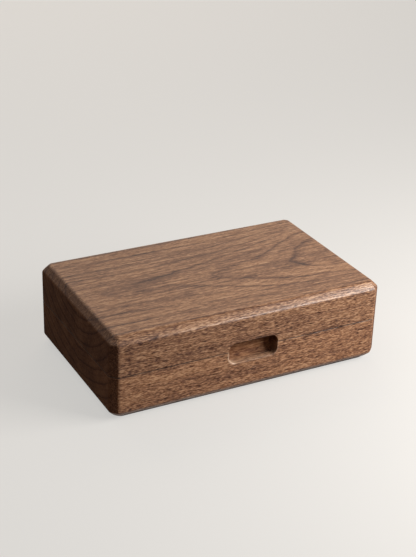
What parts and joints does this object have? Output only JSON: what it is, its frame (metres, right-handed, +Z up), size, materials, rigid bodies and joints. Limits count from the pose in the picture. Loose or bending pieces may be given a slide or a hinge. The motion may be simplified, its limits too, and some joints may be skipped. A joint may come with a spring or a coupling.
{
  "type": "ring organizer box",
  "caption": "Lidded walnut box with rows of velvet ring rolls, a thumb recess across the parting line and a lid on two brass stop hinges.",
  "frame": {"origin": "centre of the felt's underside under the box, on the surface that the box stands on", "axes": "+X along the box to the right, +Y from the thumb recess at the front to the hinges at the back, +Z up"},
  "size_m": [0.18, 0.1174, 0.0534],
  "materials": {
    "walnut": "satin",
    "brass": "satin",
    "brass_screws": "satin",
    "nickel": "satin",
    "velvet": "matte",
    "flock": "matte",
    "foam": "matte",
    "card": "matte",
    "felt": "matte"
  },
  "bodies": {
    "base": {"base_block": "walnut", "base_felt": "felt", "base_lining": "flock", "insert_board": "card", "ring_roll_1": "velvet", "ring_roll_2": "velvet", "ring_roll_3": "velvet", "ring_roll_4": "velvet", "ring_roll_5": "velvet", "ring_roll_6": "velvet", "ring_roll_foam_1": "foam", "ring_roll_foam_2": "foam", "ring_roll_foam_3": "foam", "ring_roll_foam_4": "foam", "ring_roll_foam_5": "foam", "ring_roll_foam_6": "foam", "hinge_left_base_leaf": "brass", "hinge_right_base_leaf": "brass", "hinge_left_pin": "brass", "hinge_right_pin": "brass", "hinge_left_base_screws": "brass_screws", "hinge_right_base_screws": "brass_screws", "magnet_base_left": "nickel", "magnet_base_right": "nickel"},
    "lid": {"lid_block": "walnut", "lid_lining": "flock", "lid_card": "card", "lid_pad_foam": "foam", "lid_pad_cover": "velvet", "hinge_left_lid_leaf": "brass", "hinge_right_lid_leaf": "brass", "hinge_left_lid_screws": "brass_screws", "hinge_right_lid_screws": "brass_screws", "magnet_lid_left": "nickel", "magnet_lid_right": "nickel"}
  },
  "joints": [
    {"name": "lid_hinge", "type": "hinge", "parent": "base", "child": "lid", "pos_m": [0, 0.0584, 0.0288], "axis": [-1, 0, 0], "range_deg": [0, 95]}
  ]
}
